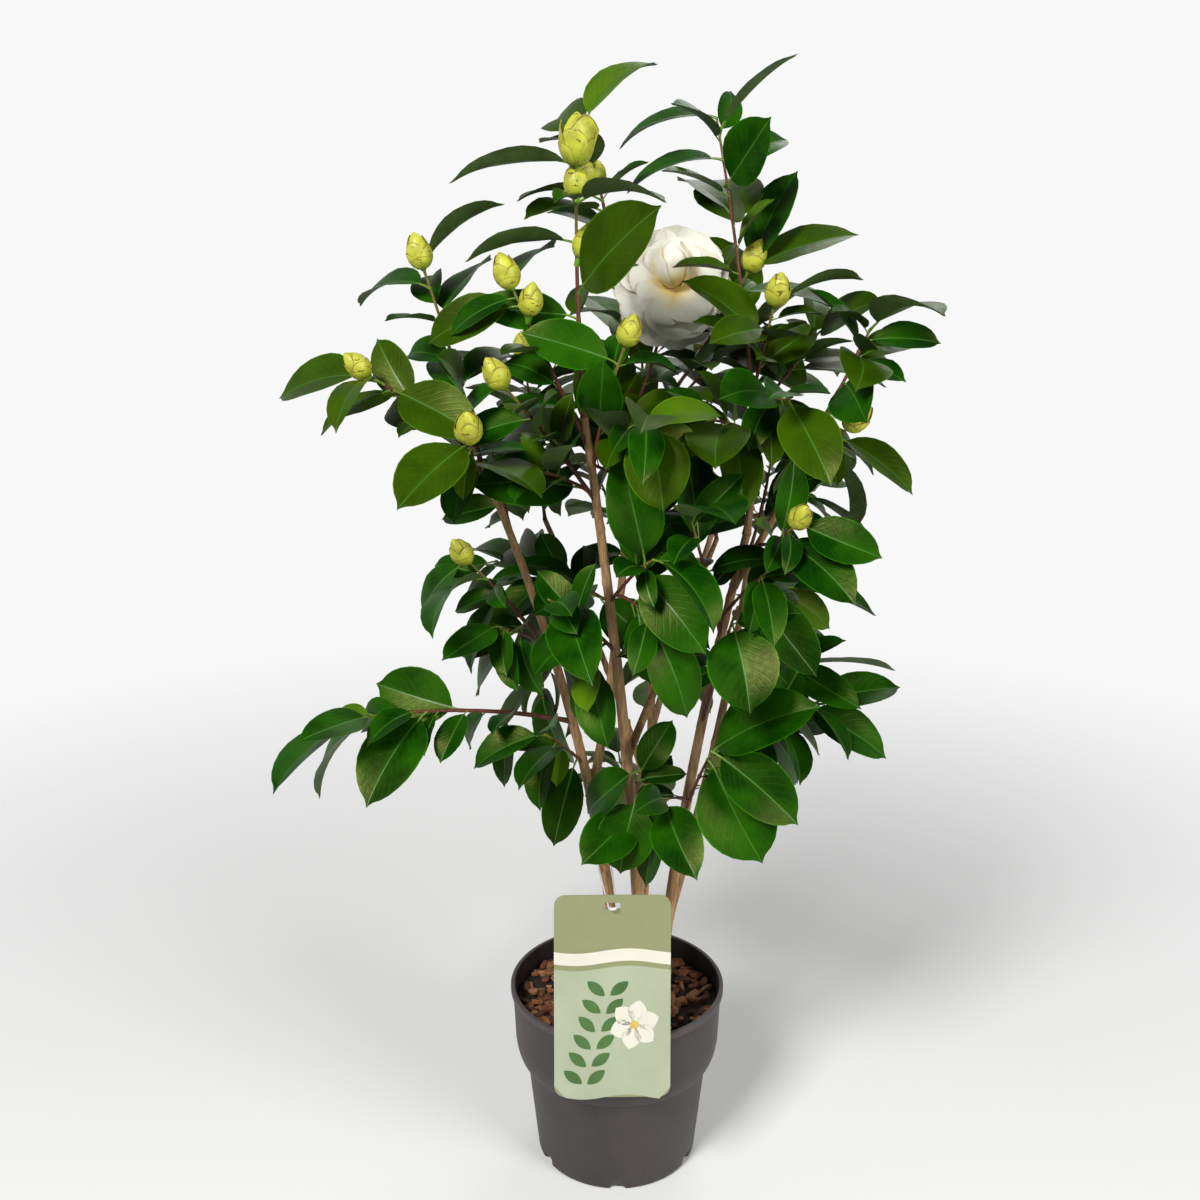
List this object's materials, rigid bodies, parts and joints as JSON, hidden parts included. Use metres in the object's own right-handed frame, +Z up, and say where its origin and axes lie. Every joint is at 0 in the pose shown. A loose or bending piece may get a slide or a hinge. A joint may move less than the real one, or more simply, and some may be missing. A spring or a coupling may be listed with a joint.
{
  "type": "camellia shrub",
  "caption": "Young evergreen camellia in a round nursery pot: slender stems, boughs and separate sprays of leaves with fat flower buds and an open double bloom.",
  "frame": {"origin": "centre of the pot's flat underside, which the pot stands on", "axes": "+Z up along the pot's axis; -Y is the side with the hang card and the open bloom"},
  "size_m": [0.5003, 0.4135, 0.936],
  "materials": {
    "pot": "dark taupe moulded plastic, matt",
    "potting_mix": "moist red-brown bark mulch",
    "bark": "tan bark with fine lengthwise streaks",
    "foliage": "thick glossy evergreen leaves, yellow-green buds, ivory bloom",
    "card": "printed plastic hang card, satin",
    "tie": "white plastic loop"
  },
  "bodies": {
    "root": {"pot": "pot", "potting_mix": "potting_mix", "hang_card": "card", "card_tie": "tie", "stem_left": "bark", "stem_middle": "bark", "stem_right": "bark", "bough_left_inner": "bark", "bough_centre_rear": "bark", "bough_right_rear": "bark", "bough_right_upright": "bark", "bough_right_outer": "bark", "stem_rear": "bark", "bough_rear_left": "bark", "bough_rear_right": "bark", "left_top": "foliage", "left_upper": "foliage", "left_back": "foliage", "left_mid": "foliage", "left_low": "foliage", "left_low_inner": "foliage", "middle_top": "foliage", "middle_top_left": "foliage", "middle_bud": "foliage", "middle_left": "foliage", "middle_right_mid": "foliage", "middle_left_low": "foliage", "middle_foot": "foliage", "inner_top": "foliage", "bloom_spray": "foliage", "inner_right": "foliage", "inner_left": "foliage", "inner_mid": "foliage", "inner_left_low": "foliage", "right_top": "foliage", "right_bud": "foliage", "right_second": "foliage", "right_inner": "foliage", "outer_top": "foliage", "outer_side": "foliage", "outer_low": "foliage", "right_mid_left": "foliage", "right_heart": "foliage", "right_foot": "foliage", "right_rear_top": "foliage", "right_rear_side": "foliage", "right_low_upper": "foliage", "right_low": "foliage", "right_rear_back": "foliage", "centre_rear_top": "foliage", "rear_top": "foliage", "rear_side": "foliage", "rear_mid": "foliage", "rear_low": "foliage", "rear_left_top": "foliage", "rear_left_side": "foliage", "rear_right_top": "foliage", "rear_right_side": "foliage"}
  },
  "joints": []
}
